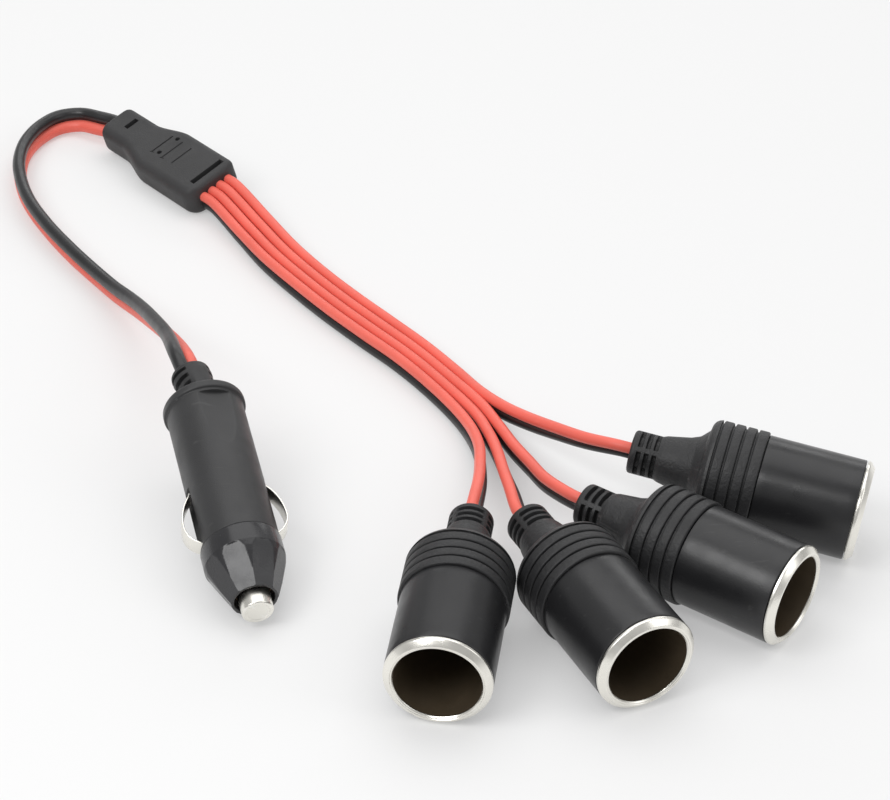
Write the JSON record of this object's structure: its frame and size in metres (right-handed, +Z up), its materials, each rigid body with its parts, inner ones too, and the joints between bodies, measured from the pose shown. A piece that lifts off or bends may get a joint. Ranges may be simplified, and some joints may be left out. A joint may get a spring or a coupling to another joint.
{
  "type": "car power socket splitter",
  "caption": "Car power socket splitter: a fused accessory plug on a twin lead, a Y-shaped junction block and a fan of in-line sockets on red and black twin leads.",
  "frame": {"origin": "centre of the footprint of the plug, the junction block and the sockets, on the table that the set lies on", "axes": "+Z up from the table, -Y towards the sockets' mouths and the viewer, +X to the viewer's right"},
  "size_m": [0.254, 0.2925, 0.0338],
  "materials": {
    "nickel": "satin nickel plate",
    "cover_plastic": "smooth semi-gloss",
    "grip_pvc": "fine-grained matte",
    "boot_pvc": "matte",
    "lead_pvc": "smooth satin, one wire red and one black",
    "red_pvc": "smooth satin",
    "black_pvc": "smooth satin",
    "fibre": "pressed fibre board",
    "brass": "satin",
    "steel": "drawn wire",
    "glass": "clear"
  },
  "bodies": {
    "splitter": {"socket_1_shell": "nickel", "socket_1_cover": "cover_plastic", "socket_1_boot": "grip_pvc", "socket_1_insulator": "fibre", "socket_1_center_contact": "brass", "socket_1_ground_tab": "nickel", "socket_1_red_tail": "red_pvc", "socket_1_black_tail": "black_pvc", "socket_2_shell": "nickel", "socket_2_cover": "cover_plastic", "socket_2_boot": "grip_pvc", "socket_2_insulator": "fibre", "socket_2_center_contact": "brass", "socket_2_ground_tab": "nickel", "socket_2_red_tail": "red_pvc", "socket_2_black_tail": "black_pvc", "socket_3_shell": "nickel", "socket_3_cover": "cover_plastic", "socket_3_boot": "grip_pvc", "socket_3_insulator": "fibre", "socket_3_center_contact": "brass", "socket_3_ground_tab": "nickel", "socket_3_red_tail": "red_pvc", "socket_3_black_tail": "black_pvc", "socket_4_shell": "nickel", "socket_4_cover": "cover_plastic", "socket_4_boot": "grip_pvc", "socket_4_insulator": "fibre", "socket_4_center_contact": "brass", "socket_4_ground_tab": "nickel", "socket_4_red_tail": "red_pvc", "socket_4_black_tail": "black_pvc", "lead_1": "lead_pvc", "lead_2": "lead_pvc", "lead_3": "lead_pvc", "lead_4": "lead_pvc", "plug_lead": "lead_pvc", "junction_housing": "grip_pvc", "red_splice": "red_pvc", "black_splice": "black_pvc", "plug_body": "grip_pvc", "plug_boot": "boot_pvc", "tip_spring": "steel", "rear_fuse_contact": "brass", "plug_red_tail": "red_pvc", "plug_black_tail": "black_pvc"},
    "tip": {"tip_contact": "nickel", "fuse_glass": "glass", "fuse_cap_front": "nickel", "fuse_cap_rear": "nickel"},
    "cap_carriage": {"cap_washer": "fibre"},
    "cap": {"nose_cap": "cover_plastic"},
    "side_left": {"side_contact_left": "nickel"},
    "side_right": {"side_contact_right": "nickel"}
  },
  "joints": [
    {"name": "tip_press", "type": "slide", "parent": "splitter", "child": "tip", "axis": [-0.2837, 0.9279, 0.2419], "range_m": [0, 0.003], "stiffness_N_per_m": 300, "springref_m": -0.004, "deforming": ["tip_spring"]},
    {"name": "cap_travel", "type": "slide", "parent": "splitter", "child": "cap_carriage", "axis": [0.2837, -0.9279, -0.2419], "range_m": [0, 0.006]},
    {"name": "cap_turn", "type": "hinge", "parent": "cap_carriage", "child": "cap", "pos_m": [-0.04761, -0.09369, 0.0102], "axis": [0.2837, -0.9279, -0.2419], "range_deg": [0, 1440]},
    {"name": "left_contact_press", "type": "hinge", "parent": "splitter", "child": "side_left", "pos_m": [-0.04494, -0.06943, 0.01579], "axis": [-0.0707, 0.2314, -0.9703], "range_deg": [0, 15], "stiffness_Nm_per_rad": 0.02, "springref_deg": -5.73},
    {"name": "right_contact_press", "type": "hinge", "parent": "splitter", "child": "side_right", "pos_m": [-0.06339, -0.07508, 0.01579], "axis": [0.0707, -0.2314, 0.9703], "range_deg": [0, 15], "stiffness_Nm_per_rad": 0.02, "springref_deg": -5.73}
  ],
  "couplings": [
    {"joint": "cap_turn", "follows": "cap_travel", "rad_per_m": 4188.8}
  ]
}
